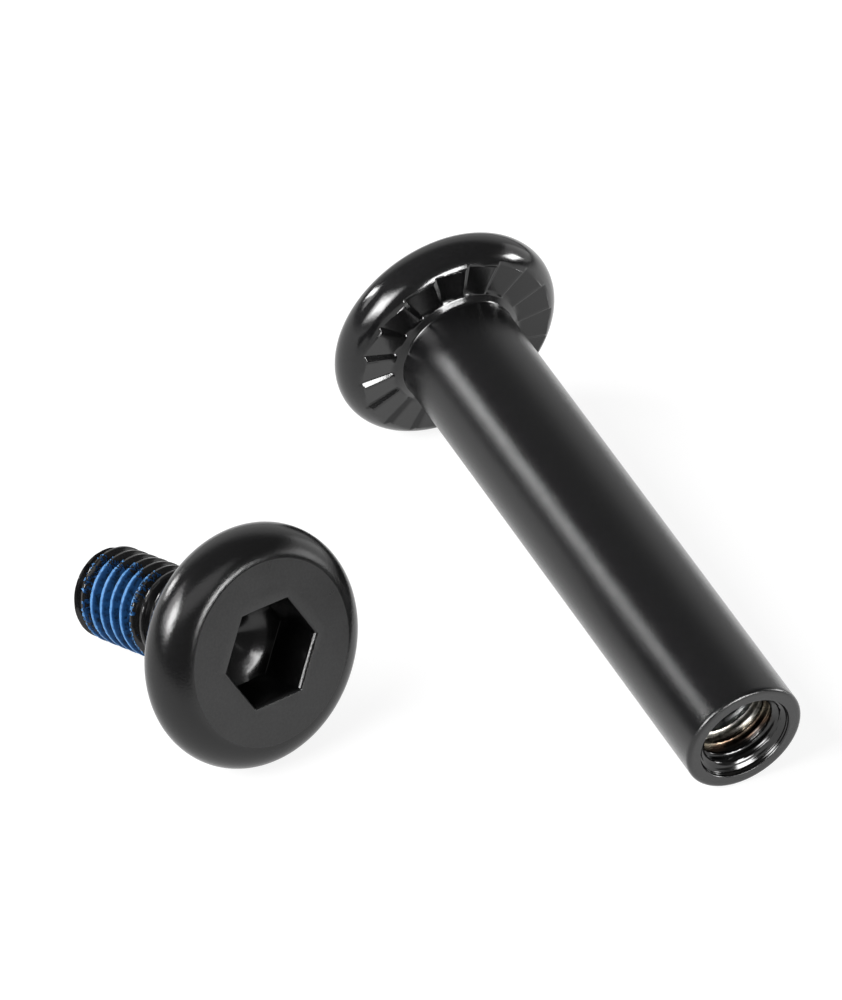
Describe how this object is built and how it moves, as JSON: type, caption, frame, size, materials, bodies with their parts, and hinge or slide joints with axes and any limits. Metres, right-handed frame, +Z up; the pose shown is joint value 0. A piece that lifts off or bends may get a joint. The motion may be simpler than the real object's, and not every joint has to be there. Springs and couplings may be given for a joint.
{
  "type": "skate brake axle",
  "caption": "Sleeve axle lying taken apart: a tubular barrel with a toothed pan head and a tapped end, beside its hex-socket clamping screw with a blue locking patch.",
  "frame": {"origin": "middle of the two pieces' footprint, on the flat surface they lie on", "axes": "+Z up from that surface; +X along the barrel as seen from above, from its head towards its open end; the screw lies on the -Y side of the barrel"},
  "size_m": [0.042, 0.0414, 0.0154],
  "materials": {
    "black_finish": "gloss",
    "blue_nylon": "matte"
  },
  "bodies": {
    "root": {"axle_barrel": "black_finish", "clamping_screw": "black_finish", "thread_locking_patch": "blue_nylon"}
  },
  "joints": []
}
